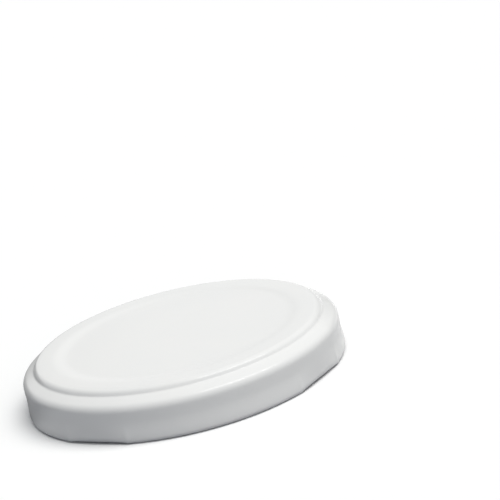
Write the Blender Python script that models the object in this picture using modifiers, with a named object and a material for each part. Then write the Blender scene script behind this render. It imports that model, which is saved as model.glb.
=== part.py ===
"""Twist-off jar lid: a pressed sheet-metal shell with four lugs, and the ring of sealing compound inside it.

The shell is one sheet. It runs from a flat centre panel over a raised ring and a sloping shoulder, down
the skirt to a slight waist, and rolls inwards at the hem. The roll is pressed flat at each lug, which
hooks under the thread of a jar. The lid stands on its hem, top up, with the origin at the centre of the
hem's lowest plane.
"""

import math

import bmesh
import bpy
from mathutils import Vector

# Sheet and overall size, in metres: the lid is widest at the hem
SHEET_THICKNESS = 0.0002
LID_RADIUS = 0.03425
LID_HEIGHT = 0.0106

# Top: each width is that of one ring, from the outside of the skirt inwards
SHOULDER_WIDTH = 0.0026
SHOULDER_FALL_DEG = 33.0
SHOULDER_BEND = 0.00116
RISER_WIDTH = 0.0017
RISER_HEIGHT = 0.0013
RISER_FOOT_BEND = 0.0003
CREST_WIDTH = 0.0024
SLOPE_WIDTH = 0.0033
PANEL_RECESS = 0.0005

# Skirt: how far its top and its waist lie inside the hem
SKIRT_INSET = 0.00017
WAIST_INSET = 0.0003
WAIST_HEIGHT = 0.0030

# Rolled hem: the radius is that of the roll's outer face
ROLL_RADIUS = 0.00098
ROLL_WRAP_DEG = 300.0

# Lugs: each is a stretch of the roll pressed into a flat tab, along a straight chord of the skirt
LUG_COUNT = 4
FIRST_LUG_DEG = 45.0
LUG_LENGTH = 0.0149
LUG_RAMP = 0.0013
LUG_WIDTH = 0.0035
LUG_THICKNESS = 0.0009
LUG_LIFT = 0.00015
LUG_BEND_RADIUS = 0.0013
LUG_RETURN = 0.0021

# Sealing ring, in the channel under the raised ring
SEAL_GAP = 0.00025
SEAL_DEPTH = 0.0008
SEAL_CORNER = 0.0002
SEAL_OVERLAP = 0.0010
SEAL_LIP = 0.00025
SEAL_TAPER = 0.0009

# Facets
SLOPE_STEPS = 4
CREST_BEND_STEPS = 4
FOOT_BEND_STEPS = 3
SHOULDER_STEPS = 5
FLARE_STEPS = 4
LUG_BEND_STEPS = 4
LUG_NOSE_STEPS = 4
LUG_FLAT_STEPS = 2
LUG_RAMP_STEPS = 2
PLAIN_STEPS = 10
SEAL_STEPS = 72
SMOOTH_BELOW_DEG = 40.0

SHOULDER_Z = LID_HEIGHT - RISER_HEIGHT
PANEL_Z = LID_HEIGHT - PANEL_RECESS
SKIRT_TOP_RADIUS = LID_RADIUS - SKIRT_INSET
WAIST_RADIUS = LID_RADIUS - WAIST_INSET
RISER_FOOT_RADIUS = SKIRT_TOP_RADIUS - SHOULDER_WIDTH
CREST_OUTER_RADIUS = RISER_FOOT_RADIUS - RISER_WIDTH
CREST_INNER_RADIUS = CREST_OUTER_RADIUS - CREST_WIDTH
PANEL_RADIUS = CREST_INNER_RADIUS - SLOPE_WIDTH

# Arc lengths along the skirt
LUG_PITCH = 2.0 * math.pi * LID_RADIUS / LUG_COUNT
LUG_HALF = LUG_LENGTH / 2.0
LUG_FLAT_HALF = LUG_HALF - LUG_RAMP


def smooth_step(share):
    """0 to 1 with a level start and end."""
    share = min(max(share, 0.0), 1.0)
    return share * share * (3.0 - 2.0 * share)


def arc(centre, bend, start_deg, end_deg, steps):
    """Points of a bend in the section as (radius, height), both ends included."""
    points = []
    for step in range(steps + 1):
        angle = math.radians(start_deg + (end_deg - start_deg) * step / steps)
        points.append((centre[0] + bend * math.cos(angle), centre[1] + bend * math.sin(angle)))
    return points


def slope():
    """The gentle step from the centre panel up to the raised ring."""
    points = []
    for step in range(SLOPE_STEPS + 1):
        share = step / SLOPE_STEPS
        points.append((PANEL_RADIUS + SLOPE_WIDTH * share, PANEL_Z + PANEL_RECESS * smooth_step(share)))
    return points


def riser():
    """From the raised ring down to the shoulder: a round crest, then a tight bend the other way."""
    fall = math.radians(SHOULDER_FALL_DEG)
    across = RISER_WIDTH + RISER_FOOT_BEND * math.sin(fall)
    down = RISER_HEIGHT + RISER_FOOT_BEND * (1.0 - math.cos(fall))
    lean = 2.0 * math.atan(down / across)
    crest_bend = across / math.sin(lean) - RISER_FOOT_BEND
    crest_centre = (CREST_OUTER_RADIUS, LID_HEIGHT - crest_bend)
    crest = arc(crest_centre, crest_bend, 90.0, 90.0 - math.degrees(lean), CREST_BEND_STEPS)
    foot_centre = (
        RISER_FOOT_RADIUS + RISER_FOOT_BEND * math.sin(fall),
        SHOULDER_Z + RISER_FOOT_BEND * math.cos(fall),
    )
    foot_start_deg = 270.0 - math.degrees(lean)
    foot = arc(foot_centre, RISER_FOOT_BEND, foot_start_deg, 270.0 - SHOULDER_FALL_DEG, FOOT_BEND_STEPS)
    return crest + foot[1:]


def shoulder():
    """The bend at the end of the shoulder's slope, which turns it down into the skirt."""
    fall = math.radians(SHOULDER_FALL_DEG)
    slope_width = SHOULDER_WIDTH - SHOULDER_BEND * (1.0 - math.sin(fall))
    centre = (
        SKIRT_TOP_RADIUS - SHOULDER_BEND,
        SHOULDER_Z - slope_width * math.tan(fall) - SHOULDER_BEND * math.cos(fall),
    )
    return arc(centre, SHOULDER_BEND, 90.0 - SHOULDER_FALL_DEG, 0.0, SHOULDER_STEPS)


def top_section():
    """Outer face of the sheet from the edge of the centre panel to the top of the skirt."""
    return slope() + riser() + shoulder()


def lug_hem():
    """Outer face of the hem at a lug: a bend, a level tab, its round nose and the edge folded back."""
    bend_centre = (LID_RADIUS - LUG_BEND_RADIUS, LUG_LIFT + LUG_BEND_RADIUS)
    bend = arc(bend_centre, LUG_BEND_RADIUS, 0.0, -90.0, LUG_BEND_STEPS)
    nose_radius = LUG_THICKNESS / 2.0
    nose_centre = (LID_RADIUS - LUG_WIDTH + nose_radius, LUG_LIFT + nose_radius)
    nose = arc(nose_centre, nose_radius, -90.0, -270.0, LUG_NOSE_STEPS)
    cut_edge = (nose_centre[0] + LUG_RETURN, LUG_LIFT + LUG_THICKNESS)
    return bend + nose + [cut_edge]


def plain_hem():
    """Outer face of the round roll, from the skirt inwards and back up, in as many points as a lug's hem."""
    centre = (LID_RADIUS - ROLL_RADIUS, ROLL_RADIUS)
    return arc(centre, ROLL_RADIUS, 0.0, -ROLL_WRAP_DEG, len(lug_hem()) - 1)


def pressed_share(offset):
    """1 in a lug and 0 in the plain roll; offset is the arc length from the lug's middle."""
    return 1.0 - smooth_step((abs(offset) - LUG_FLAT_HALF) / LUG_RAMP)


def dent_depth(offset):
    """How far inside the round hem the straight chord of a lug lies."""
    if abs(offset) >= LUG_HALF:
        return 0.0
    return LID_RADIUS * (1.0 - math.cos(LUG_HALF / LID_RADIUS) / math.cos(offset / LID_RADIUS))


def section(offset):
    """Outer face of the sheet, from the edge of the centre panel to the cut edge in the roll, at one place."""
    pressed = pressed_share(offset)
    dent = dent_depth(offset)
    hem = []
    for plain, lug in zip(plain_hem(), lug_hem()):
        radius, height = (p + (q - p) * pressed for p, q in zip(plain, lug))
        hem.append((radius - dent, height))
    hem_radius, hem_top = hem[0]
    flare = []
    for step in range(FLARE_STEPS):
        share = step / FLARE_STEPS
        radius = WAIST_RADIUS + (hem_radius - WAIST_RADIUS) * smooth_step(share)
        flare.append((radius, WAIST_HEIGHT + (hem_top - WAIST_HEIGHT) * share))
    return top_section() + flare + hem


def section_offsets():
    """Arc lengths from one lug's middle to the next lug's, closest together at the lug's ends."""
    out = [LUG_FLAT_HALF * step / LUG_FLAT_STEPS for step in range(LUG_FLAT_STEPS)]
    out += [LUG_FLAT_HALF + LUG_RAMP * step / LUG_RAMP_STEPS for step in range(LUG_RAMP_STEPS)]
    plain = LUG_PITCH - LUG_LENGTH
    between = [LUG_HALF + plain * step / PLAIN_STEPS for step in range(PLAIN_STEPS + 1)]
    back = [LUG_PITCH - offset for offset in out[:0:-1]]
    return out + between + back


def collection(name):
    made = bpy.data.collections.new(name)
    bpy.context.scene.collection.children.link(made)
    return made


def material(name, colour, roughness, coat):
    made = bpy.data.materials.new(name)
    made.use_nodes = True
    made.diffuse_color = (*colour, 1.0)
    shader = made.node_tree.nodes["Principled BSDF"]
    shader.inputs["Base Color"].default_value = (*colour, 1.0)
    shader.inputs["Roughness"].default_value = roughness
    shader.inputs["Metallic"].default_value = 0.0
    shader.inputs["Coat Weight"].default_value = coat
    return made


def place(name, shape, finish, home):
    """Turns a bmesh into a named object with its finish."""
    mesh = bpy.data.meshes.new(name)
    shape.to_mesh(mesh)
    shape.free()
    mesh.materials.append(finish)
    mesh.shade_smooth()
    mesh.set_sharp_from_angle(angle=math.radians(SMOOTH_BELOW_DEG))
    made = bpy.data.objects.new(name, mesh)
    home.objects.link(made)
    return made


def lid_shell(finish, home):
    """The pressed sheet: a loft through plain and lug sections round the axis, given its thickness."""
    shape = bmesh.new()
    centre = shape.verts.new((0.0, 0.0, PANEL_Z))
    rings = []
    for lug in range(LUG_COUNT):
        for along in section_offsets():
            offset = along if along <= LUG_PITCH / 2.0 else along - LUG_PITCH
            angle = math.radians(FIRST_LUG_DEG) + (lug * LUG_PITCH + along) / LID_RADIUS
            ring = []
            for radius, height in section(offset):
                place_on_ring = (radius * math.cos(angle), radius * math.sin(angle), height)
                ring.append(shape.verts.new(place_on_ring))
            rings.append(ring)
    for ring, following in zip(rings, rings[1:] + rings[:1]):
        shape.faces.new((centre, ring[0], following[0]))
        for inner, outer, next_outer, next_inner in zip(ring, ring[1:], following[1:], following):
            shape.faces.new((inner, outer, next_outer, next_inner))
    shell = place("lid_shell", shape, finish, home)
    sheet = shell.modifiers.new("sheet", "SOLIDIFY")
    sheet.thickness = SHEET_THICKNESS
    sheet.offset = -1.0
    sheet.use_even_offset = True


def channel_roof():
    """The sheet's inner face over the seal, moved in by the gap that the seal keeps to it."""
    outer = [Vector(point) for point in top_section()]
    distance = SHEET_THICKNESS + SEAL_GAP
    roof = []
    for before, here, after in zip(outer, outer[1:], outer[2:]):
        incoming = (here - before).normalized()
        outgoing = (after - here).normalized()
        along = (incoming + outgoing).normalized()
        inwards = Vector((along.y, -along.x))
        roof.append(here + inwards * distance / along.dot(incoming))
    return roof


def crossing(path, axis, value):
    """Where a path first passes a radius (axis 0) or a height (axis 1)."""
    for before, after in zip(path, path[1:]):
        low, high = sorted((before[axis], after[axis]))
        if low <= value <= high and low < high:
            return before.lerp(after, (value - before[axis]) / (after[axis] - before[axis]))
    return path[-1]


def seal_section():
    """Closed section of the seal: out along the channel's roof, down, in along the sealing face, up the taper."""
    roof = channel_roof()
    face_z = LID_HEIGHT - SHEET_THICKNESS - SEAL_GAP - SEAL_DEPTH
    inner_edge = crossing(roof, 0, CREST_INNER_RADIUS - SEAL_OVERLAP)
    wall = [point for point in roof if point.x >= CREST_OUTER_RADIUS]
    outer_edge = crossing(wall, 1, face_z + SEAL_CORNER)
    roof = [point for point in roof if inner_edge.x < point.x < outer_edge.x]
    face_outer = Vector((outer_edge.x - SEAL_CORNER, face_z))
    face_inner = Vector((inner_edge.x + SEAL_TAPER, face_z))
    lip = inner_edge - Vector((0.0, SEAL_LIP))
    taper = face_inner.lerp(lip, 0.5) - Vector((0.0, SEAL_CORNER / 2.0))
    return [inner_edge] + roof + [outer_edge, face_outer, face_inner, taper, lip]


def sealing_ring(finish, home):
    """The ring of compound, turned from its closed section."""
    shape = bmesh.new()
    corners = [shape.verts.new((point.x, 0.0, point.y)) for point in seal_section()]
    for here, after in zip(corners, corners[1:] + corners[:1]):
        shape.edges.new((here, after))
    ring = place("sealing_ring", shape, finish, home)
    turn = ring.modifiers.new("turn", "SCREW")
    turn.steps = SEAL_STEPS
    turn.render_steps = SEAL_STEPS
    turn.use_merge_vertices = True
    turn.merge_threshold = 0.00001
    turn.use_smooth_shade = True


def build():
    for old in list(bpy.data.objects):
        bpy.data.objects.remove(old)
    enamel = material("white_enamel", (0.83, 0.83, 0.82), 0.22, 0.6)
    compound = material("sealing_compound", (0.82, 0.81, 0.75), 0.45, 0.0)
    home = collection("jar_lid")
    lid_shell(enamel, home)
    sealing_ring(compound, home)


build()
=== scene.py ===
import math

import bmesh
import bpy
from mathutils import Matrix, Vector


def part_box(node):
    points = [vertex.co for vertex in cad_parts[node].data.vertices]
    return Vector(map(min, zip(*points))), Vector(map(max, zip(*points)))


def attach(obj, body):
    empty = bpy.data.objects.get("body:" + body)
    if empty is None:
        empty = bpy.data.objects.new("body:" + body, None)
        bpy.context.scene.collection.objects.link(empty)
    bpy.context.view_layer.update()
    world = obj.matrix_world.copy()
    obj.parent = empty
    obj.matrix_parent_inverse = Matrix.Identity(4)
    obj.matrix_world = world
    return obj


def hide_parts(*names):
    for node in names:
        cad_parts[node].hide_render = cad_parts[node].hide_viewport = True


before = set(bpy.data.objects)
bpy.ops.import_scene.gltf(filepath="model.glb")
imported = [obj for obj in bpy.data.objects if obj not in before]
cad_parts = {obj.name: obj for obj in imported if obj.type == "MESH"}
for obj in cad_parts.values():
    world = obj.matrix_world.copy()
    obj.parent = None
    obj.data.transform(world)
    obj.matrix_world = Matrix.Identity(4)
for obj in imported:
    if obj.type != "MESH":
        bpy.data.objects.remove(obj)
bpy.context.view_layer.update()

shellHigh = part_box("lid_shell")[1]
lidRadius, lidHeight = shellHigh[0], shellHigh[2]


# sheet and pressing of the shell, in metres; widths run inwards from the skirt
shell = dict(
    sheet=0.0002,
    shoulderWidth=0.0026,
    shoulderFall=27.0,      # degrees
    shoulderBend=0.0019,
    riserWidth=0.0017,
    riserHeight=0.0013,
    footBend=0.0007,
    crestWidth=0.0024,
    slopeWidth=0.0042,
    recess=0.00026,
    skirtInset=0.00017,     # skirt's top inside the hem
    waistInset=0.00022,
    waistHeight=0.0046,
    rollRadius=0.00098,
    rollWrap=300.0,         # degrees
)

# the four lugs pressed from the roll
lug = dict(
    count=4,
    firstBearing=45.0,      # degrees
    length=0.0149,
    ramp=0.0011,
    width=0.0035,
    thickness=0.0009,
    lift=0.00024,
    bend=0.0013,
    fold=0.0021,            # edge folded back over the tab
    stages=(0.35, 0.5, 0.85, 1.0),      # shares of the roll where bend, tab, nose and fold end
    crispFrom=0.12,         # share of the roll where the tab's ends start to turn crisp
    crispOver=0.2,
    flatHalf=0.0073,        # half of the flattened stretch of the skirt's foot
    flatDepth=0.00030,
    corner=0.00008,         # metal pushed out at each end of a lug
    cornerReach=0.0012,
)

# facets along the section and round the axis
fine = dict(panel=3, slope=4, crest=1, crestBend=6, footBend=5, land=2, shoulderBend=6, skirt=3, flare=6,
            roll=17, halfLug=5, ramp=5, plain=22)

shoulderZ = lidHeight - shell["riserHeight"]
panelZ = lidHeight - shell["recess"]
skirtTop = lidRadius - shell["skirtInset"]
waist = lidRadius - shell["waistInset"]
riserFoot = skirtTop - shell["shoulderWidth"]
crestOuter = riserFoot - shell["riserWidth"]
crestInner = crestOuter - shell["crestWidth"]
panelRadius = crestInner - shell["slopeWidth"]
lugPitch = 2 * math.pi * lidRadius / lug["count"]

# the hem layer says where a point lies: these two, 0 where the roll starts, 1 at the cut edge
aboveWaist, atWaist = -2.0, -1.0
weld = 0.000002             # points nearer than this become one


def easeInOut(share):
    share = min(max(share, 0.0), 1.0)
    return share * share * (3 - 2 * share)


# the section is drawn with a pen that moves in the XZ plane
def straight(bm, pen, dx, dz, steps=1):
    for _ in range(steps):
        pen = bmesh.ops.extrude_vert_indiv(bm, verts=[pen])["verts"][0]
        bmesh.ops.translate(bm, verts=[pen], vec=(dx / steps, 0, dz / steps))
    return pen


def bend(bm, pen, centre, degrees, steps):
    # positive turns clockwise as seen from -Y
    turned = bmesh.ops.spin(bm, geom=[pen], cent=(centre[0], 0, centre[1]), axis=(0, 1, 0),
                            angle=math.radians(degrees), steps=steps)
    return [part for part in turned["geom_last"] if isinstance(part, bmesh.types.BMVert)][0]


def slopeBends():
    # lean in degrees and radius of the two wide bends that step up to the raised ring
    lean = 2 * math.atan(shell["recess"] / shell["slopeWidth"])
    return math.degrees(lean), shell["slopeWidth"] / math.sin(lean) / 2


def riserBends():
    # lean in degrees of the riser and radius of the crest that fit its width, height and foot
    fall = math.radians(shell["shoulderFall"])
    across = shell["riserWidth"] + shell["footBend"] * math.sin(fall)
    down = shell["riserHeight"] + shell["footBend"] * (1 - math.cos(fall))
    lean = 2 * math.atan(down / across)
    return math.degrees(lean), across / math.sin(lean) - shell["footBend"]


def drawShell(bm, hemLayer):
    # half of the section, from the middle of the panel to the cut edge
    pen = bm.verts.new((0, 0, panelZ))
    pen = straight(bm, pen, panelRadius, 0, fine["panel"])
    lean, wideBend = slopeBends()
    pen = bend(bm, pen, (panelRadius, panelZ + wideBend), -lean, fine["slope"])
    pen = bend(bm, pen, (crestInner, lidHeight - wideBend), lean, fine["slope"])
    pen = straight(bm, pen, shell["crestWidth"], 0, fine["crest"])
    # round crest, tight foot, sloping land, round shoulder, skirt
    lean, crestBend = riserBends()
    fall = math.radians(shell["shoulderFall"])
    pen = bend(bm, pen, (crestOuter, lidHeight - crestBend), lean, fine["crestBend"])
    footX = riserFoot + shell["footBend"] * math.sin(fall)
    footZ = shoulderZ + shell["footBend"] * math.cos(fall)
    pen = bend(bm, pen, (footX, footZ), shell["shoulderFall"] - lean, fine["footBend"])
    land = shell["shoulderWidth"] - shell["shoulderBend"] * (1 - math.sin(fall))
    pen = straight(bm, pen, land, -land * math.tan(fall), fine["land"])
    turnX = skirtTop - shell["shoulderBend"]
    turnZ = pen.co.z - shell["shoulderBend"] * math.cos(fall)
    pen = bend(bm, pen, (turnX, turnZ), 90 - shell["shoulderFall"], fine["shoulderBend"])
    pen = straight(bm, pen, waist - skirtTop, shell["waistHeight"] - turnZ, fine["skirt"])
    for vert in bm.verts:
        vert[hemLayer] = aboveWaist
    pen[hemLayer] = atWaist
    # the flare's points lie at the waist until the hem is pressed, but for the last, where the roll starts
    for step in range(fine["flare"]):
        last = step == fine["flare"] - 1
        pen = straight(bm, pen, lidRadius - waist if last else 0, 0)
        pen[hemLayer] = (step + 1) / fine["flare"] + atWaist
    bmesh.ops.translate(bm, verts=[pen], vec=(0, 0, shell["rollRadius"] - pen.co.z))
    before = set(bm.verts)
    bend(bm, pen, (lidRadius - shell["rollRadius"], shell["rollRadius"]), shell["rollWrap"], fine["roll"])
    for step, vert in enumerate([vert for vert in bm.verts if vert not in before], 1):
        vert[hemLayer] = step / fine["roll"]


def turnShell(bm):
    # turns the section round the axis in stretches, closest together at the lugs' ends
    inner = lug["length"] / 2 - lug["ramp"]
    outer = lug["cornerReach"]
    stretches = ((inner, fine["halfLug"]), (lug["ramp"] + outer, fine["ramp"] * 2),
                 (lugPitch - lug["length"] - 2 * outer, fine["plain"]),
                 (lug["ramp"] + outer, fine["ramp"] * 2), (inner, fine["halfLug"]))
    bmesh.ops.rotate(bm, cent=(0, 0, 0), matrix=Matrix.Rotation(math.radians(lug["firstBearing"]), 3, "Z"),
                     verts=bm.verts)
    edge = bm.verts[:] + bm.edges[:]
    for _ in range(lug["count"]):
        for length, steps in stretches:
            edge = bmesh.ops.spin(bm, geom=edge, cent=(0, 0, 0), axis=(0, 0, 1),
                                  angle=length / lidRadius, steps=steps)["geom_last"]


def pressedPoint(along):
    # radius and height of the hem at a lug: bend, tab, round nose, edge folded back
    turn = lug["bend"]
    nose = lug["thickness"] / 2
    tabEnd = lidRadius - lug["width"] + nose
    bendStage, tabStage, noseStage, foldStage = lug["stages"]
    if along <= bendStage:
        angle = math.radians(90 * along / bendStage)
        return lidRadius - turn + turn * math.cos(angle), lug["lift"] + turn - turn * math.sin(angle)
    if along <= tabStage:
        share = (along - bendStage) / (tabStage - bendStage)
        return lidRadius - turn + (tabEnd - lidRadius + turn) * share, lug["lift"]
    if along <= noseStage:
        angle = math.radians(180 * (along - tabStage) / (noseStage - tabStage))
        return tabEnd - nose * math.sin(angle), lug["lift"] + nose - nose * math.cos(angle)
    share = (along - noseStage) / (foldStage - noseStage)
    return tabEnd + lug["fold"] * share, lug["lift"] + lug["thickness"]


def pressHem(bm, hemLayer):
    # flares the skirt's foot out to the hem and presses the lugs
    half = lug["length"] / 2
    for vert in bm.verts:
        along = vert[hemLayer]
        if along < atWaist:
            continue
        bearing = math.atan2(vert.co.y, vert.co.x)
        radius = math.hypot(vert.co.x, vert.co.y)
        offset = (bearing - math.radians(lug["firstBearing"])) * lidRadius
        offset = abs((offset + lugPitch / 2) % lugPitch - lugPitch / 2)
        tab = 1 - easeInOut((offset - half + lug["ramp"]) / lug["ramp"])
        flat = max(0.0, 1 - (offset / lug["flatHalf"]) ** 2)
        corner = max(0.0, 1 - abs(offset - half) / lug["cornerReach"])
        moved = lug["corner"] * easeInOut(corner) - lug["flatDepth"] * flat
        hemTop = shell["rollRadius"] + (lug["lift"] + lug["bend"] - shell["rollRadius"]) * flat
        if along >= 0:
            # the outer bend gives way gently, the tab inside has crisp ends
            pressed = flat + (tab - flat) * easeInOut((along - lug["crispFrom"]) / lug["crispOver"])
            tabRadius, tabHeight = pressedPoint(along)
            newRadius = radius + (tabRadius - radius) * pressed + moved
            newHeight = vert.co.z + (tabHeight - vert.co.z) * pressed
        else:
            depth = along - atWaist
            newRadius = waist + (lidRadius + moved - waist) * easeInOut(depth)
            newHeight = shell["waistHeight"] + (hemTop - shell["waistHeight"]) * depth
        vert.co = (newRadius * math.cos(bearing), newRadius * math.sin(bearing), newHeight)


def finishPiece(name, bm, materials):
    mesh = bpy.data.meshes.new(name)
    bm.to_mesh(mesh)
    bm.free()
    for finish in materials:
        mesh.materials.append(finish)
    mesh.shade_smooth()
    piece = bpy.data.objects.new(name, mesh)
    bpy.context.scene.collection.objects.link(piece)
    return piece


def makeShell(materials):
    bm = bmesh.new()
    hemLayer = bm.verts.layers.float.new("hem")
    drawShell(bm, hemLayer)
    turnShell(bm)
    pressHem(bm, hemLayer)
    bmesh.ops.remove_doubles(bm, verts=bm.verts, dist=weld)
    bmesh.ops.recalc_face_normals(bm, faces=bm.faces)
    top = max(bm.faces, key=lambda face: face.calc_center_median().z)
    if top.normal.z < 0:
        bmesh.ops.reverse_faces(bm, faces=bm.faces)

    piece = finishPiece("lidShell", bm, materials)
    wall = piece.modifiers.new("sheet", "SOLIDIFY")
    wall.thickness = shell["sheet"]
    wall.offset = -1
    wall.use_even_offset = True
    # the second material inside, the third on the cut edge
    wall.material_offset = 1
    wall.material_offset_rim = 2
    smooth = piece.modifiers.new("smooth", "SUBSURF")
    smooth.levels = 1
    smooth.render_levels = 1
    return piece


# compound flowed into the channel under the raised ring
seal = dict(
    gap=0.00003,
    depth=0.00105,
    overlap=0.0012,         # inwards past the crest, up the slope's underside
    crestShare=0.8,         # how far it follows the crest's bend
    lip=0.00010,
    taper=0.0013,
    corner=0.00035,
    unevenness=0.00003,     # of the flowed surface
    unevenFrom=0.3,         # share of the depth that stays as it is
    waves=((3, 1.0, 0.7), (7, 0.6, 0.0), (13, 0.4, 2.0)),       # count round the ring, strength, shift
)

# facets along the ring's section and round the axis
sealFine = dict(roof=5, crest=4, crestBend=6, side=2, corner=4, face=6, taper=5, round=128)


def makeSeal(materials):
    bm = bmesh.new()
    inside = shell["sheet"] + seal["gap"]
    roofZ = lidHeight - inside
    faceZ = roofZ - seal["depth"]
    # the roof follows the wide bend of the slope, then the crest
    wideBend = slopeBends()[1] - inside
    climb = math.asin(seal["overlap"] / wideBend)
    inner = crestInner - seal["overlap"]
    start = bm.verts.new((inner, 0, roofZ - wideBend * (1 - math.cos(climb))))
    pen = bend(bm, start, (crestInner, roofZ - wideBend), math.degrees(climb), sealFine["roof"])
    pen = straight(bm, pen, shell["crestWidth"], 0, sealFine["crest"])
    lean, crestBend = riserBends()
    pen = bend(bm, pen, (crestOuter, lidHeight - crestBend), lean * seal["crestShare"],
               sealFine["crestBend"])
    foot = pen.co.copy()
    pen = straight(bm, pen, 0, faceZ + seal["corner"] - foot.z, sealFine["side"])
    pen = bend(bm, pen, (foot.x - seal["corner"], faceZ + seal["corner"]), 90, sealFine["corner"])
    pen = straight(bm, pen, inner + seal["taper"] - pen.co.x, 0, sealFine["face"])
    # thins out to a lip at its inner edge
    pen = straight(bm, pen, inner - pen.co.x, start.co.z - seal["lip"] - pen.co.z, sealFine["taper"])
    bmesh.ops.contextual_create(bm, geom=[pen, start])
    bmesh.ops.spin(bm, geom=bm.verts[:] + bm.edges[:], cent=(0, 0, 0), axis=(0, 0, 1),
                   angle=2 * math.pi, steps=sealFine["round"], use_merge=True)
    bmesh.ops.remove_doubles(bm, verts=bm.verts, dist=weld)
    bmesh.ops.recalc_face_normals(bm, faces=bm.faces)
    # the face below isn't quite even, as it set from a liquid
    for vert in bm.verts:
        below = (roofZ - vert.co.z) / seal["depth"]
        if below > seal["unevenFrom"] and math.hypot(vert.co.x, vert.co.y) < foot.x - seal["corner"]:
            bearing = math.atan2(vert.co.y, vert.co.x)
            ripple = sum(strength * math.sin(count * bearing + shift)
                         for count, strength, shift in seal["waves"])
            vert.co.z += seal["unevenness"] * min(below, 1.0) * (1 + ripple / 2) / 2
    return finishPiece("sealRing", bm, materials)


def feed(tree, value, socket):
    # wires another socket to this one, or gives it a plain value
    if isinstance(value, bpy.types.NodeSocket):
        tree.links.new(value, socket)
    else:
        socket.default_value = value


def calc(tree, operation, first, second):
    step = tree.nodes.new("ShaderNodeMath")
    step.operation = operation
    feed(tree, first, step.inputs[0])
    feed(tree, second, step.inputs[1])
    return step.outputs[0]


def vectorCalc(tree, operation, first, second=None):
    step = tree.nodes.new("ShaderNodeVectorMath")
    step.operation = operation
    feed(tree, first, step.inputs[0])
    if second is not None:
        feed(tree, second, step.inputs["Scale" if operation == "SCALE" else 1])
    return step.outputs["Value" if operation == "DOT_PRODUCT" else "Vector"]


def mixColours(tree, share, first, second):
    mix = tree.nodes.new("ShaderNodeMix")
    mix.data_type = "RGBA"
    # its sockets share their names, so these are the numbers of the share and the two colours
    for number, value in ((0, share), (6, first), (7, second)):
        feed(tree, value, mix.inputs[number])
    return mix.outputs[2]


# what every coat has in common
coatMake = dict(
    toneFrom=0.35,          # noise where the second colour starts, and where it is full
    toneTo=0.7,
    pitCore=0.05,           # where a pit's wall starts and ends, as a share of its cell
    pitRim=0.22,
    pittedFrom=0.55,        # noise where pits start, and where they are at full depth
    pittedTo=0.62,
    pitDullness=0.1,
    grainScale=7000.0,
    grainHeight=0.12,       # beside the peel's 1
)


# a coat over sheet or compound: drifting tone, uneven gloss, the fine peel of its surface
def makeCoatGroup():
    group = bpy.data.node_groups.new("coatSurface", "ShaderNodeTree")
    for name, kind, value in (("Colour", "NodeSocketColor", (0.8, 0.8, 0.8, 1)),
                              ("Second Colour", "NodeSocketColor", (0.7, 0.7, 0.7, 1)),
                              ("Drift Scale", "NodeSocketFloat", 60.0),
                              ("Drift", "NodeSocketFloat", 0.3),
                              ("Roughness", "NodeSocketFloat", 0.25),
                              ("Gloss Spread", "NodeSocketFloat", 0.06),
                              ("Smudge Scale", "NodeSocketFloat", 140.0),
                              ("Peel Scale", "NodeSocketFloat", 900.0),
                              ("Pit Scale", "NodeSocketFloat", 1500.0),
                              ("Pit Depth", "NodeSocketFloat", 0.2)):
        socket = group.interface.new_socket(name=name, in_out="INPUT", socket_type=kind)
        socket.default_value = value
    for name, kind in (("Colour", "NodeSocketColor"), ("Roughness", "NodeSocketFloat"),
                       ("Height", "NodeSocketFloat")):
        group.interface.new_socket(name=name, in_out="OUTPUT", socket_type=kind)
    given = group.nodes.new("NodeGroupInput").outputs
    made = group.nodes.new("NodeGroupOutput").inputs
    place = group.nodes.new("ShaderNodeTexCoord").outputs["Object"]

    def noise(scale, detail, roughness=0.5, distortion=0.0):
        cloud = group.nodes.new("ShaderNodeTexNoise")
        for socket, value in (("Vector", place), ("Scale", scale), ("Detail", detail),
                              ("Roughness", roughness), ("Distortion", distortion)):
            feed(group, value, cloud.inputs[socket])
        return cloud.outputs["Fac"]

    def between(value, low, high, start=0.0, end=1.0):
        # start up to low, end from high on, and evenly from one to the other in between
        span = group.nodes.new("ShaderNodeMapRange")
        for socket, item in (("Value", value), ("From Min", low), ("From Max", high),
                             ("To Min", start), ("To Max", end)):
            feed(group, item, span.inputs[socket])
        return span.outputs[0]

    # tone drifts between the two colours
    drift = noise(given["Drift Scale"], detail=4.0, roughness=0.55, distortion=0.6)
    drifted = between(drift, coatMake["toneFrom"], coatMake["toneTo"])
    share = calc(group, "MULTIPLY", drifted, given["Drift"])
    feed(group, mixColours(group, share, given["Colour"], given["Second Colour"]), made["Colour"])

    # small round pits where bubbles burst or dust was caught
    pits = group.nodes.new("ShaderNodeTexVoronoi")
    feed(group, place, pits.inputs["Vector"])
    feed(group, given["Pit Scale"], pits.inputs["Scale"])
    hollow = between(pits.outputs["Distance"], coatMake["pitCore"], coatMake["pitRim"], start=1.0, end=0.0)
    rare = between(noise(given["Smudge Scale"], detail=1.0), coatMake["pittedFrom"], coatMake["pittedTo"])
    dug = calc(group, "MULTIPLY", calc(group, "MULTIPLY", hollow, rare), given["Pit Depth"])

    # gloss: broad smudges from handling, to both sides of the base roughness
    smudge = noise(given["Smudge Scale"], detail=5.0, roughness=0.6, distortion=1.2)
    spread = calc(group, "MULTIPLY", calc(group, "SUBTRACT", smudge, 0.5), given["Gloss Spread"])
    uneven = calc(group, "ADD", given["Roughness"], spread)
    dulled = calc(group, "MULTIPLY", dug, coatMake["pitDullness"])
    feed(group, calc(group, "ADD", uneven, dulled), made["Roughness"])

    # height: peel with a finer grain on it, less the pits
    peel = noise(given["Peel Scale"], detail=2.0, roughness=0.45)
    grain = calc(group, "MULTIPLY", noise(coatMake["grainScale"], detail=2.0), coatMake["grainHeight"])
    raised = calc(group, "ADD", peel, grain)
    feed(group, calc(group, "SUBTRACT", raised, dug), made["Height"])
    return group


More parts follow.
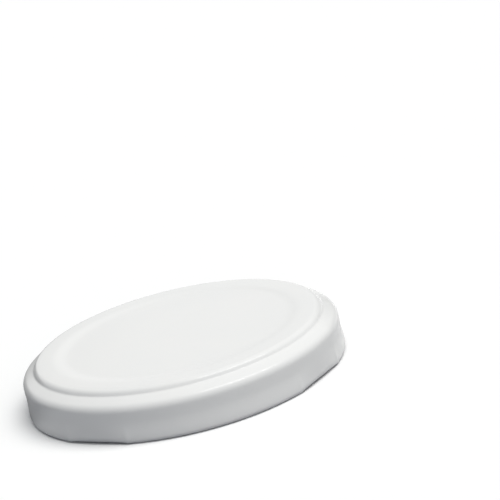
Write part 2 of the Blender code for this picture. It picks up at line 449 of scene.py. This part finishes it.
# outward direction times a radius, the same at every height, for marks that run across a ring
def makeRoundGroup():
    group = bpy.data.node_groups.new("roundTheLid", "ShaderNodeTree")
    socket = group.interface.new_socket(name="Radius", in_out="INPUT", socket_type="NodeSocketFloat")
    socket.default_value = lidRadius
    group.interface.new_socket(name="Vector", in_out="OUTPUT", socket_type="NodeSocketVector")
    place = group.nodes.new("ShaderNodeTexCoord").outputs["Object"]
    # a direction shows no seam where the bearing comes round again
    outward = vectorCalc(group, "NORMALIZE", vectorCalc(group, "MULTIPLY", place, (1, 1, 0)))
    radius = group.nodes.new("NodeGroupInput").outputs["Radius"]
    along = vectorCalc(group, "SCALE", outward, radius)
    feed(group, along, group.nodes.new("NodeGroupOutput").inputs["Vector"])
    return group


coatGroup = makeCoatGroup()
roundGroup = makeRoundGroup()


def startMaterial(name, look):
    made = bpy.data.materials.new(name)
    made.use_nodes = True
    tree = made.node_tree
    shader = tree.nodes["Principled BSDF"]
    for socket, value in look["shader"].items():
        shader.inputs[socket].default_value = value
    coat = tree.nodes.new("ShaderNodeGroup")
    coat.node_tree = coatGroup
    for socket, value in look["coat"].items():
        coat.inputs[socket].default_value = value
    feed(tree, coat.outputs["Colour"], shader.inputs["Base Color"])
    feed(tree, coat.outputs["Roughness"], shader.inputs["Roughness"])
    bump = tree.nodes.new("ShaderNodeBump")
    bump.name = "coatBump"
    bump.inputs["Distance"].default_value = look["bump"]
    feed(tree, coat.outputs["Height"], bump.inputs["Height"])
    feed(tree, bump.outputs[0], shader.inputs["Normal"])
    return made


# white stove enamel outside, glossy, with a faint orange peel
enamelLook = dict(
    bump=0.0000035,
    shader={"Coat Weight": 0.08, "Coat Roughness": 0.05, "IOR": 1.42},
    coat={"Colour": (0.83, 0.83, 0.82, 1), "Second Colour": (0.79, 0.80, 0.80, 1), "Drift Scale": 45.0,
          "Drift": 0.35, "Roughness": 0.2, "Gloss Spread": 0.10, "Smudge Scale": 70.0, "Peel Scale": 1100.0,
          "Pit Scale": 420.0, "Pit Depth": 0.0},
)

# thin clear-cream lacquer inside, a little duller than the outside
lacquerLook = dict(
    bump=0.000003,
    shader={"IOR": 1.48},
    coat={"Colour": (0.79, 0.78, 0.73, 1), "Second Colour": (0.74, 0.73, 0.66, 1), "Drift Scale": 70.0,
          "Drift": 0.5, "Roughness": 0.3, "Gloss Spread": 0.14, "Smudge Scale": 110.0, "Peel Scale": 1500.0,
          "Pit Scale": 600.0, "Pit Depth": 0.0},
)

# bare cut edge of the tinplate
edgeLook = dict(
    bump=0.000004,
    shader={"Metallic": 1.0},
    coat={"Colour": (0.62, 0.62, 0.62, 1), "Second Colour": (0.45, 0.44, 0.43, 1), "Drift Scale": 400.0,
          "Drift": 0.8, "Roughness": 0.34, "Gloss Spread": 0.2, "Smudge Scale": 500.0, "Peel Scale": 4000.0,
          "Pit Scale": 3000.0, "Pit Depth": 0.3},
)

# cured sealing compound: satin, cream, with flow marks across the ring and small burst bubbles
compoundLook = dict(
    bump=0.000012,
    flowRadius=0.029,
    flowScale=1100.0,
    flowDetail=3.0,
    flowDepth=0.000010,
    shader={"IOR": 1.5, "Subsurface Weight": 0.12, "Subsurface Scale": 0.001,
            "Subsurface Radius": (1.0, 0.9, 0.7)},
    coat={"Colour": (0.82, 0.80, 0.73, 1), "Second Colour": (0.77, 0.74, 0.66, 1), "Drift Scale": 160.0,
          "Drift": 0.6, "Roughness": 0.46, "Gloss Spread": 0.16, "Smudge Scale": 260.0, "Peel Scale": 1300.0,
          "Pit Scale": 900.0, "Pit Depth": 0.8},
)


def makeCompound():
    made = startMaterial("sealingCompound", compoundLook)
    tree = made.node_tree
    run = tree.nodes.new("ShaderNodeGroup")
    run.node_tree = roundGroup
    run.inputs["Radius"].default_value = compoundLook["flowRadius"]
    flow = tree.nodes.new("ShaderNodeTexNoise")
    flow.inputs["Scale"].default_value = compoundLook["flowScale"]
    flow.inputs["Detail"].default_value = compoundLook["flowDetail"]
    feed(tree, run.outputs["Vector"], flow.inputs["Vector"])
    marks = tree.nodes.new("ShaderNodeBump")
    marks.inputs["Distance"].default_value = compoundLook["flowDepth"]
    feed(tree, flow.outputs["Fac"], marks.inputs["Height"])
    feed(tree, tree.nodes["coatBump"].outputs[0], marks.inputs["Normal"])
    feed(tree, marks.outputs[0], tree.nodes["Principled BSDF"].inputs["Normal"])
    return made


enamel = startMaterial("whiteEnamel", enamelLook)
lacquer = startMaterial("innerLacquer", lacquerLook)
bareEdge = startMaterial("bareEdge", edgeLook)
compound = makeCompound()
print("finishes mixed:", len(bpy.data.materials))

lidShell = makeShell([enamel, lacquer, bareEdge])
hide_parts("lid_shell")
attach(lidShell, "root")
print("shell pressed:", len(lidShell.data.polygons), "faces before its wall")

sealRing = makeSeal([compound])
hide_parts("sealing_ring")
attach(sealRing, "root")
print("seal laid:", len(sealRing.data.polygons), "faces")


# floor and light: the camera and reflections see a white surround, reflections with painted grey shades in
# it, and only other rays see the floor's own colour and the glows
studio = dict(
    seen=(1.0, 1.0, 1.0),
    floorSize=3.0,
    floorRoughness=0.9,
    floorColour=(0.265, 0.275, 0.30),
    fill=0.165,
    fillColour=(0.90, 0.94, 1.0),
    # each glow: light on a surface that faces it, how narrow it is, where it comes from and its colour
    glows=(
        dict(light=0.605, focus=8.0, bearing=-38.0, height=72.0, colour=(1.0, 1.0, 0.985)),
        dict(light=0.14, focus=5.0, bearing=-50.0, height=22.0, colour=(1.0, 0.96, 0.90)),
        dict(light=0.11, focus=5.0, bearing=-106.0, height=18.0, colour=(0.91, 0.94, 1.0)),
    ),
    # three bright spots in a row make a long soft box, which draws the highlights along the bends
    spots=(
        dict(light=0.065, focus=170.0, bearing=-72.0, height=69.0, colour=(1.0, 1.0, 0.98)),
        dict(light=0.075, focus=170.0, bearing=-36.0, height=66.0, colour=(1.0, 1.0, 0.98)),
        dict(light=0.065, focus=170.0, bearing=-12.0, height=57.0, colour=(1.0, 1.0, 0.98)),
    ),
    # painted reflections: grey shades in the surround that only the enamel mirrors, standing in for shaded
    # things beside the lid; their middle, and their shade at each nearness to it
    paintedShades=(
        dict(bearing=173.0, height=0.0, shades=((0.015, 1.0), (0.06, 0.72), (0.12, 0.72), (0.20, 1.0))),
        dict(bearing=112.0, height=-8.0, shades=((0.92, 1.0), (0.96, 0.05))),
        dict(bearing=55.0, height=5.0, shades=((0.91, 1.0), (0.97, 0.5))),
    ),
    # painted shadow, seen only in reflections: the floor darker to the lid's left and back, where its shadow
    # falls
    paintedFloorShadows=(dict(bearing=135.0, height=0.0, shades=((0.60, 1.0), (0.76, 0.3))),),
)


def seenDirectly(tree):
    # 1 for rays from the camera, mirrored to it or passing through glass, which see the white surround
    rays = tree.nodes.new("ShaderNodeLightPath").outputs
    cameraOrMirror = calc(tree, "MAXIMUM", rays["Is Camera Ray"], rays["Is Glossy Ray"])
    return calc(tree, "MAXIMUM", cameraOrMirror, rays["Is Transmission Ray"])


def nearness(tree, direction, item):
    # 1 straight towards the item, 0 at right angles to it
    rise, turn = math.radians(item["height"]), math.radians(item["bearing"])
    towards = (math.cos(rise) * math.cos(turn), math.cos(rise) * math.sin(turn), math.sin(rise))
    return vectorCalc(tree, "DOT_PRODUCT", direction, towards)


def addPaintedShades(tree, colour, paintedShades, direction):
    # painted shade: darkens the colour that mirrors see towards the middle of each shade
    for shadePatch in paintedShades:
        ramp = tree.nodes.new("ShaderNodeValToRGB")
        stops = ramp.color_ramp.elements
        for number, (place, shade) in enumerate(shadePatch["shades"]):
            # a new ramp has two stops
            stop = stops[number] if number < 2 else stops.new(place)
            stop.position = place
            stop.color = (shade, shade, shade, 1)
        feed(tree, nearness(tree, direction, shadePatch), ramp.inputs["Fac"])
        colour = vectorCalc(tree, "MULTIPLY", ramp.outputs["Color"], colour)
    return colour


def addGlows(tree, colour, glows, direction):
    for glow in glows:
        # brightness falls off with the angle from the glow's middle
        facing = calc(tree, "MAXIMUM", nearness(tree, direction, glow), 0.0)
        fall = calc(tree, "POWER", facing, glow["focus"])
        # with this peak, a surface that faces the glow gets its light
        peak = glow["light"] * (glow["focus"] + 2) / 2
        shine = vectorCalc(tree, "SCALE", [peak * channel for channel in glow["colour"]], fall)
        colour = vectorCalc(tree, "ADD", shine, colour)
    return colour


def makeFloor():
    made = bpy.data.materials.new("floor")
    made.use_nodes = True
    tree = made.node_tree
    shader = tree.nodes["Principled BSDF"]
    shader.inputs["Roughness"].default_value = studio["floorRoughness"]
    shader.inputs["Specular IOR Level"].default_value = 0.0
    outwards = vectorCalc(tree, "NORMALIZE", tree.nodes.new("ShaderNodeTexCoord").outputs["Object"])
    # painted shadow: the floor as mirrors see it, darker to the lid's left and back
    mirrored = addPaintedShades(tree, studio["seen"], studio["paintedFloorShadows"], outwards)
    glossyRay = tree.nodes.new("ShaderNodeLightPath").outputs["Is Glossy Ray"]
    seen = mixColours(tree, glossyRay, (*studio["seen"], 1), mirrored)
    colour = mixColours(tree, seenDirectly(tree), (*studio["floorColour"], 1), seen)
    feed(tree, colour, shader.inputs["Base Color"])
    bm = bmesh.new()
    bmesh.ops.create_grid(bm, x_segments=1, y_segments=1, size=studio["floorSize"])
    return finishPiece("floor", bm, [made])


def makeWorld():
    world = bpy.data.worlds.new("studio")
    world.use_nodes = True
    tree = world.node_tree
    direction = tree.nodes.new("ShaderNodeTexCoord").outputs["Generated"]
    fill = [studio["fill"] * channel for channel in studio["fillColour"]]
    light = addGlows(tree, fill, studio["glows"] + studio["spots"], direction)
    # the camera sees plain white, and the enamel mirrors it with the painted grey shades and the spots
    withPaintedShades = addPaintedShades(tree, studio["seen"], studio["paintedShades"], direction)
    mirrored = addGlows(tree, withPaintedShades, studio["spots"], direction)
    cameraRay = tree.nodes.new("ShaderNodeLightPath").outputs["Is Camera Ray"]
    seen = mixColours(tree, cameraRay, mirrored, (*studio["seen"], 1))
    feed(tree, mixColours(tree, seenDirectly(tree), light, seen), tree.nodes["Background"].inputs["Color"])
    return world


floor = makeFloor()
bpy.context.scene.world = makeWorld()
print("studio lit:", len(studio["glows"]), "glows,", len(studio["spots"]), "spots,",
      len(studio["paintedShades"] + studio["paintedFloorShadows"]), "paintedShades")

# the camera stands low in front and leans to its left
view = dict(
    place=(-0.05999, -0.48722, 0.17140),
    bearing=80.768,         # degrees, of the line of sight
    dip=16.682,
    roll=-13.153,
    lens=176.4,
    nearest=0.01,
)
camera = bpy.data.objects.new("camera", bpy.data.cameras.new("camera"))
bpy.context.scene.collection.objects.link(camera)
bpy.context.scene.camera = camera
camera.data.lens = view["lens"]
camera.data.clip_start = view["nearest"]
sight = (Matrix.Rotation(math.radians(view["bearing"] - 90), 4, "Z")
         @ Matrix.Rotation(math.radians(90 - view["dip"]), 4, "X")
         @ Matrix.Rotation(math.radians(view["roll"]), 4, "Z"))
camera.matrix_world = Matrix.Translation(view["place"]) @ sight
print("camera placed:", camera.data.lens, "mm lens")

bpy.context.scene.view_settings.view_transform = "Standard"
